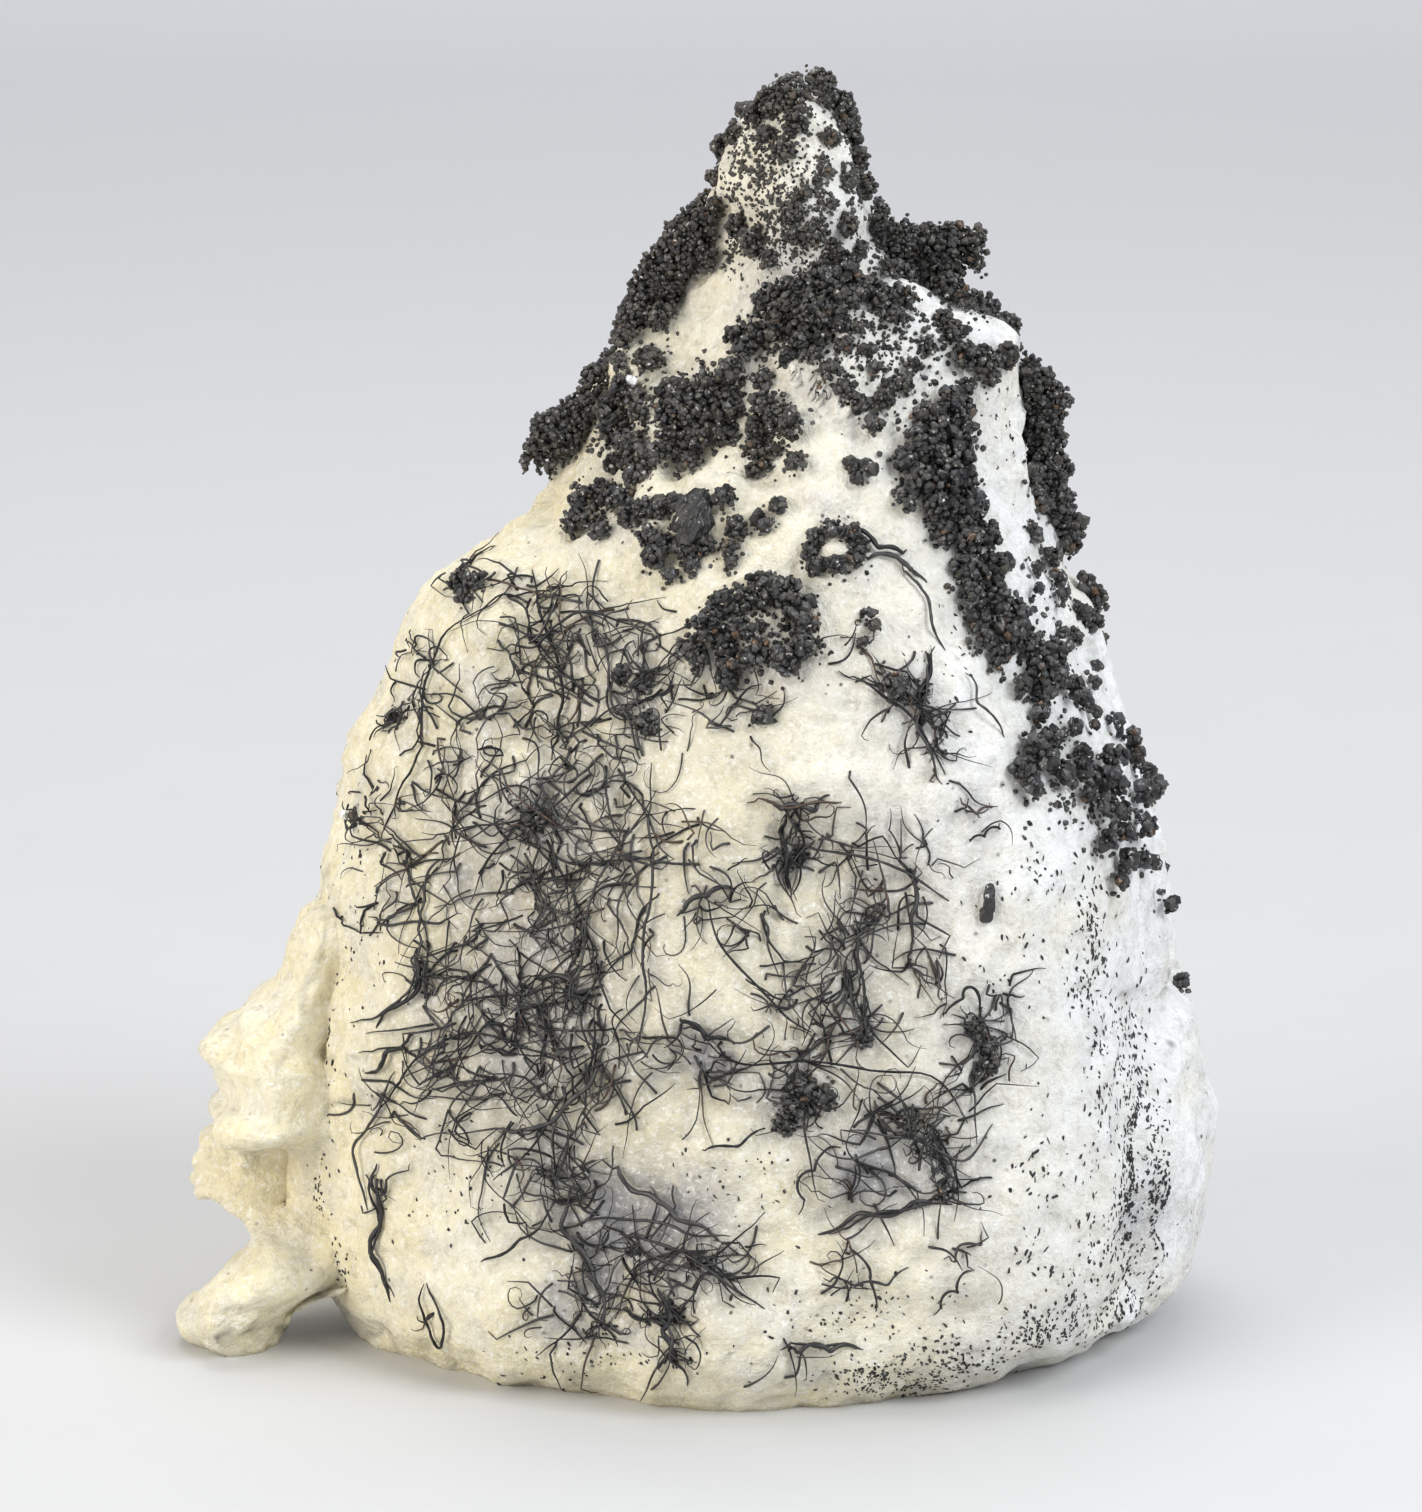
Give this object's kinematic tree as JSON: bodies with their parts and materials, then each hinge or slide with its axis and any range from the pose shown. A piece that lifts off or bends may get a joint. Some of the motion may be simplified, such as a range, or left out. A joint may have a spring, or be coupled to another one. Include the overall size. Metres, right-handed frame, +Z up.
{
  "type": "native silver specimen",
  "caption": "Hand specimen of native silver: dark granular crusts and mats of curly silver wires on an upright block of cream carbonate rock, resting on its flat underside.",
  "frame": {"origin": "centre of the specimen's bounding box, on the flat underside that it rests on", "axes": "+Z up along the spire, -Y towards the viewer of the broad face that carries the silver, +X to that viewer's right"},
  "size_m": [0.1032, 0.0716, 0.1248],
  "materials": {
    "rock": "fine-grained, chalky and matt, cream at the left and bluish white at the right",
    "silver_crust": "tarnished silver, charcoal and granular, with small bright glints",
    "silver_wire": "tarnished silver, dark grey with a dull sheen"
  },
  "bodies": {
    "root": {"rock": "rock", "crown_crust": "silver_crust", "left_shoulder_crust": "silver_crust", "left_band_crust": "silver_crust", "middle_crust": "silver_crust", "upper_ridge_crust": "silver_crust", "right_shoulder_crust": "silver_crust", "ridge_band_crust": "silver_crust", "right_edge_crust": "silver_crust", "edge_knob": "silver_crust", "outer_right_crust": "silver_crust", "lower_band_crust": "silver_crust", "centre_crust": "silver_crust", "hooked_crust": "silver_crust", "knob_crust": "silver_crust", "lower_knot": "silver_crust", "right_knot": "silver_crust", "left_knot": "silver_crust", "left_flank_wires": "silver_wire", "upper_left_wires": "silver_wire", "left_wires": "silver_wire", "centre_wires": "silver_wire", "tuft_wires": "silver_wire", "lower_wires": "silver_wire", "right_wires": "silver_wire"}
  },
  "joints": []
}
